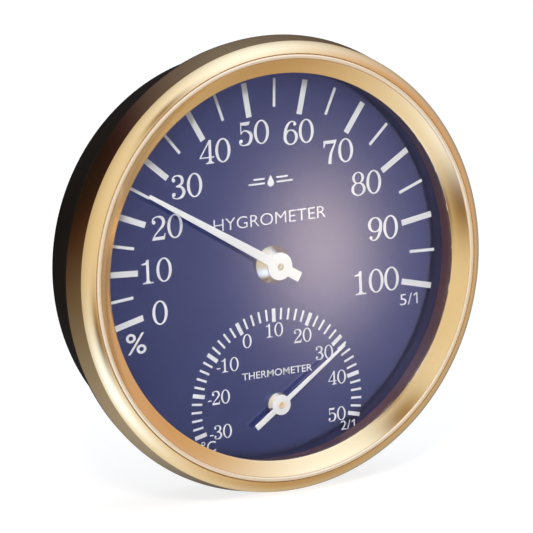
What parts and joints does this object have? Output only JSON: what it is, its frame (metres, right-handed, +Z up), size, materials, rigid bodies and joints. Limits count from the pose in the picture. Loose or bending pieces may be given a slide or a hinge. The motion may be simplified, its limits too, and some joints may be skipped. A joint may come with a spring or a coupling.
{
  "type": "dial hygrometer",
  "caption": "Round wall hygrometer with a gilt bezel, a flat window, a dark blue dial with a humidity pointer and a smaller thermometer pointer, and a black moulded case with a keyhole hanger.",
  "frame": {"origin": "centre of the back cover's flat rear face, on the axis of the hygrometer pointer; the wall is the plane y = 0", "axes": "+Z up the wall, +Y into the wall, the dial faces -Y; +X is to the reader's right"},
  "size_m": [0.13, 0.0332, 0.13],
  "materials": {
    "gilt": "bright gilt plating over die-cast metal, faint turning marks",
    "steel_screw": "zinc-plated steel",
    "clear_window": "clear flat window",
    "black_seal": "matt black rubber",
    "dark_spacer": "satin dark blue-black plastic",
    "blue_dial": "satin dark blue lacquer with white printing",
    "black_case": "black moulded ABS, fine spark texture",
    "zinc_steel": "zinc-plated stamped steel",
    "felt": "grey needled felt",
    "brass": "turned brass",
    "nickel": "bright nickel plating, turned",
    "white_pointer": "satin white lacquer",
    "humidity_strip": "thin phosphor bronze strip with a moisture-sensitive coat",
    "bimetal": "thin bimetal strip"
  },
  "bodies": {
    "case": {"bezel": "gilt", "bezel_screws": "steel_screw", "window": "clear_window", "window_gasket": "black_seal", "spacer_ring": "dark_spacer", "dial_plate": "blue_dial", "rear_case": "black_case", "back_cover": "black_case", "cover_screws": "steel_screw", "hanger_plate": "zinc_steel", "hanger_rivets": "steel_screw", "vent_felts": "felt", "hyg_frame_plate": "zinc_steel", "hyg_bush": "brass", "hyg_collar": "nickel", "hyg_pillars": "brass", "hyg_bridge": "zinc_steel", "hyg_bridge_screws": "steel_screw", "thermo_frame_plate": "zinc_steel", "thermo_bush": "brass", "thermo_collar": "nickel", "thermo_pillars": "brass", "thermo_bridge": "zinc_steel", "thermo_bridge_screws": "steel_screw"},
    "hyg_setting": {"hyg_regulator": "zinc_steel", "hyg_anchor_post": "brass", "hyg_lever": "zinc_steel", "hyg_coil": "humidity_strip"},
    "hyg_hand": {"hyg_arbor": "brass", "hyg_collet": "brass", "hyg_pointer": "white_pointer"},
    "thermo_setting": {"thermo_regulator": "zinc_steel", "thermo_anchor_post": "brass", "thermo_adjuster": "brass", "thermo_coil": "bimetal"},
    "thermo_hand": {"thermo_arbor": "brass", "thermo_collet": "brass", "thermo_pointer": "white_pointer"}
  },
  "joints": [
    {"name": "hyg_setting_turn", "type": "hinge", "parent": "case", "child": "hyg_setting", "pos_m": [0, -0.0072, 0], "axis": [0, 1, 0], "range_deg": [-10, 10]},
    {"name": "hyg_pointer_turn", "type": "hinge", "parent": "hyg_setting", "child": "hyg_hand", "pos_m": [0, -0.0232, 0], "axis": [0, 1, 0], "range_deg": [-44.89, 162.21], "stiffness_Nm_per_rad": 0.002, "deforming": ["hyg_coil"]},
    {"name": "thermo_setting_turn", "type": "hinge", "parent": "case", "child": "thermo_setting", "pos_m": [0, -0.0102, -0.0401], "axis": [0, 1, 0], "range_deg": [-5, 5]},
    {"name": "thermo_pointer_turn", "type": "hinge", "parent": "thermo_setting", "child": "thermo_hand", "pos_m": [0, -0.0232, -0.0401], "axis": [0, 1, 0], "range_deg": [-159.33, 48.27], "stiffness_Nm_per_rad": 0.001, "deforming": ["thermo_coil"]}
  ]
}
